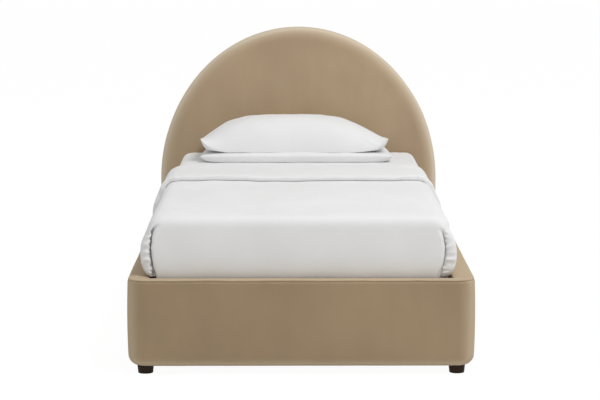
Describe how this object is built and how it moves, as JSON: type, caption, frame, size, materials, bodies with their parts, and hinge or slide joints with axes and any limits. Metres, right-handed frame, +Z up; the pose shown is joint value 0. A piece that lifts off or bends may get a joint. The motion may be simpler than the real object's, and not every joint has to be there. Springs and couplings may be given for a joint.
{
  "type": "storage platform bed",
  "caption": "Padded platform bed with an arched headboard, a slatted platform that lifts on arms and gas struts over a storage box, and made-up bedding.",
  "frame": {"origin": "on the floor under the middle of the bed's bounding box", "axes": "+Z up, +Y from the foot end to the headboard, +X to the right when standing at the foot end"},
  "size_m": [1.19, 2.1, 1.045],
  "materials": {
    "velvet": "matte",
    "back_cloth": "matte",
    "dark_plastic": "satin",
    "plywood": "satin",
    "softwood": "matte",
    "black_plastic": "matte",
    "rubber": "matte",
    "mattress_cloth": "matte",
    "white_cotton": "matte",
    "webbing": "matte",
    "zinc_steel": "satin",
    "painted_steel": "satin"
  },
  "bodies": {
    "frame": {"base_pivots": "zinc_steel", "beam_feet": "dark_plastic", "centre_beam": "softwood", "corner_brackets": "painted_steel", "corner_screws": "zinc_steel", "floor_panel_1": "plywood", "floor_panel_2": "plywood", "floor_panel_3": "plywood", "foot_rail_core": "softwood", "foot_rail_cover": "velvet", "foot_studs": "zinc_steel", "front_left_foot": "dark_plastic", "front_right_foot": "dark_plastic", "head_rail": "softwood", "headboard_back_cloth": "back_cloth", "headboard_battens": "softwood", "headboard_bolts": "zinc_steel", "headboard_cover": "velvet", "headboard_panel": "plywood", "left_ledger": "softwood", "left_lift_base": "painted_steel", "left_rail_core": "softwood", "left_rail_cover": "velvet", "rail_screws": "zinc_steel", "rear_left_foot": "dark_plastic", "rear_right_foot": "dark_plastic", "rest_brackets": "painted_steel", "rest_pads": "rubber", "right_ledger": "softwood", "right_lift_base": "painted_steel", "right_rail_core": "softwood", "right_rail_cover": "velvet"},
    "platform": {"left_side_tube": "painted_steel", "right_side_tube": "painted_steel", "foot_tube": "painted_steel", "head_tube": "painted_steel", "centre_tube": "painted_steel", "tube_end_caps": "black_plastic", "slats": "plywood", "slat_holders": "black_plastic", "left_lift_plate": "painted_steel", "right_lift_plate": "painted_steel", "platform_bolts": "zinc_steel", "platform_pivots": "zinc_steel", "lift_strap": "webbing", "mattress": "mattress_cloth", "fitted_sheet": "white_cotton", "duvet": "white_cotton", "lower_pillow": "white_cotton", "upper_pillow": "white_cotton"},
    "rear_arms": {"left_rear_arm": "painted_steel", "right_rear_arm": "painted_steel", "strut_pivots": "zinc_steel"},
    "front_arms": {"left_front_arm": "painted_steel", "right_front_arm": "painted_steel"},
    "gas_cylinders": {"left_gas_cylinder": "painted_steel", "right_gas_cylinder": "painted_steel"},
    "gas_rods": {"left_gas_rod": "zinc_steel", "right_gas_rod": "zinc_steel"}
  },
  "joints": [
    {"name": "platform_tilt", "type": "hinge", "parent": "rear_arms", "child": "platform", "pos_m": [0, 0.694, 0.262], "axis": [-1, 0, 0], "range_deg": [0, 88]},
    {"name": "rear_arm_swing", "type": "hinge", "parent": "frame", "child": "rear_arms", "pos_m": [0, 0.42, 0.192], "axis": [1, 0, 0], "range_deg": [0, 60]},
    {"name": "front_arm_swing", "type": "hinge", "parent": "frame", "child": "front_arms", "pos_m": [0, 0.15, 0.095], "axis": [1, 0, 0], "range_deg": [0, 45.72]},
    {"name": "gas_cylinder_swing", "type": "hinge", "parent": "frame", "child": "gas_cylinders", "pos_m": [0, 0.547, 0.112], "axis": [1, 0, 0], "range_deg": [0, 16.54]},
    {"name": "gas_rod_slide", "type": "slide", "parent": "gas_cylinders", "child": "gas_rods", "axis": [0, -0.4604, 0.8877], "range_m": [0, 0.06385]}
  ],
  "couplings": [
    {"joint": "rear_arm_swing", "follows": "platform_tilt", "ratio": 0.68182},
    {"joint": "front_arm_swing", "follows": "platform_tilt", "ratio": 0.51955},
    {"joint": "gas_cylinder_swing", "follows": "platform_tilt", "ratio": 0.18791},
    {"joint": "gas_rod_slide", "follows": "platform_tilt", "m_per_rad": 0.041562}
  ]
}
